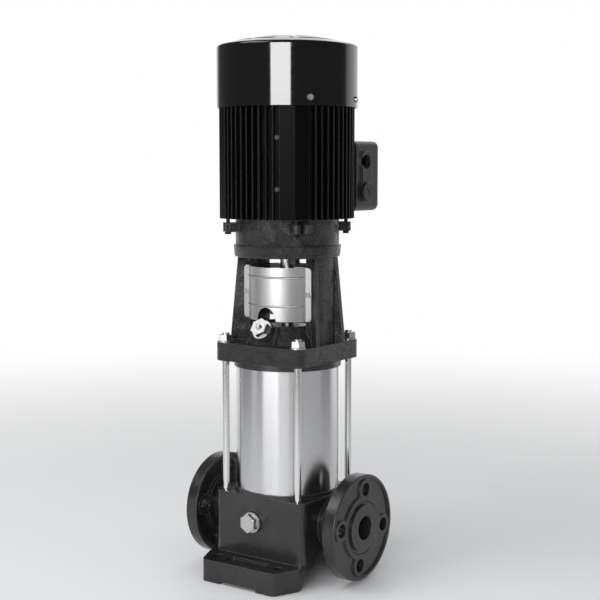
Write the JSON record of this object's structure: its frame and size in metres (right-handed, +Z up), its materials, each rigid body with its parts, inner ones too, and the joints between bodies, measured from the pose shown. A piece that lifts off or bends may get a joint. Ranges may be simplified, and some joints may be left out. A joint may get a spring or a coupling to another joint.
{
  "type": "vertical multistage pump",
  "caption": "Vertical in-line multistage pump: flanged cast base, steel sleeve with tie rods, motor stool with guarded coupling, finned motor with fan cover and terminal box.",
  "frame": {"origin": "on the shaft axis, in the plane of the base's underside, midway between the four foundation holes", "axes": "+Z up along the shaft, +X towards the outlet neck, -X towards the inlet neck, +Y towards the terminal box"},
  "size_m": [0.25, 0.2626, 0.7155],
  "materials": {
    "black_casting": "satin black coat",
    "box_grey": "satin dark grey paint",
    "bright_steel": "polished",
    "carbon": "matt",
    "copper": "enamelled wire",
    "cover_black": "gloss black",
    "fan_plastic": "moulded",
    "lamination": "varnished",
    "machined_steel": "turned",
    "motor_black": "satin black paint",
    "rubber": "matt",
    "sheet_steel": "brushed sheet",
    "sleeve_steel": "brushed",
    "stool_paint": "black paint over cast texture"
  },
  "bodies": {
    "pump": {"bearing_outer_rings": "machined_steel", "bottom_bearing": "carbon", "cable_entry_plug": "fan_plastic", "coupling_guard_front": "sheet_steel", "coupling_guard_rear": "sheet_steel", "cover_screws": "bright_steel", "discharge_chamber": "sheet_steel", "drain_plug": "bright_steel", "drain_plug_seal": "rubber", "drive_end_shield": "stool_paint", "fan_cover": "cover_black", "fan_cover_screws": "bright_steel", "frame_screws": "bright_steel", "guard_screws": "bright_steel", "inlet_chamber": "sheet_steel", "motor_frame": "motor_black", "motor_stool": "stool_paint", "neck_retaining_rings": "bright_steel", "non_drive_end_shield": "motor_black", "outer_sleeve": "sleeve_steel", "priming_plug": "bright_steel", "priming_plug_seal": "rubber", "pump_base": "black_casting", "pump_head": "sheet_steel", "seal_seat": "carbon", "shield_bolts": "bright_steel", "sleeve_seals": "rubber", "stage_chamber_1": "sheet_steel", "stage_chamber_2": "sheet_steel", "stage_chamber_3": "sheet_steel", "stage_chamber_4": "sheet_steel", "stage_chamber_5": "sheet_steel", "stator_core": "lamination", "stator_windings": "copper", "stool_bolts": "bright_steel", "terminal_block": "fan_plastic", "terminal_box": "box_grey", "terminal_box_cover": "box_grey", "terminal_box_gasket": "rubber", "tie_rod_nuts": "bright_steel", "tie_rod_washers": "bright_steel", "tie_rods": "bright_steel"},
    "rotor": {"motor_shaft": "machined_steel", "rotor_core": "lamination", "cooling_fan": "fan_plastic", "bearing_inner_rings": "machined_steel", "coupling_half_front": "machined_steel", "coupling_half_rear": "machined_steel", "coupling_screws": "machined_steel", "pump_shaft": "machined_steel", "impeller_1": "sheet_steel", "impeller_2": "sheet_steel", "impeller_3": "sheet_steel", "impeller_4": "sheet_steel", "impeller_5": "sheet_steel", "rotating_seal": "machined_steel"},
    "inlet_flange": {"inlet_flange": "black_casting"},
    "outlet_flange": {"outlet_flange": "black_casting"},
    "vent_screw": {"vent_screw": "bright_steel"}
  },
  "joints": [
    {"name": "rotor_spin", "type": "hinge", "parent": "pump", "child": "rotor", "pos_m": [0, 0, 0.38], "axis": [0, 0, 1], "continuous": true},
    {"name": "outlet_flange_turn", "type": "hinge", "parent": "pump", "child": "outlet_flange", "pos_m": [0.113, 0, 0.075], "axis": [1, 0, 0], "continuous": true},
    {"name": "inlet_flange_turn", "type": "hinge", "parent": "pump", "child": "inlet_flange", "pos_m": [-0.113, 0, 0.075], "axis": [-1, 0, 0], "continuous": true},
    {"name": "vent_screw_turn", "type": "hinge", "parent": "pump", "child": "vent_screw", "pos_m": [0, -0.064, 0.338], "axis": [0, -0.8192, 0.5736], "range_deg": [0, 360]}
  ]
}
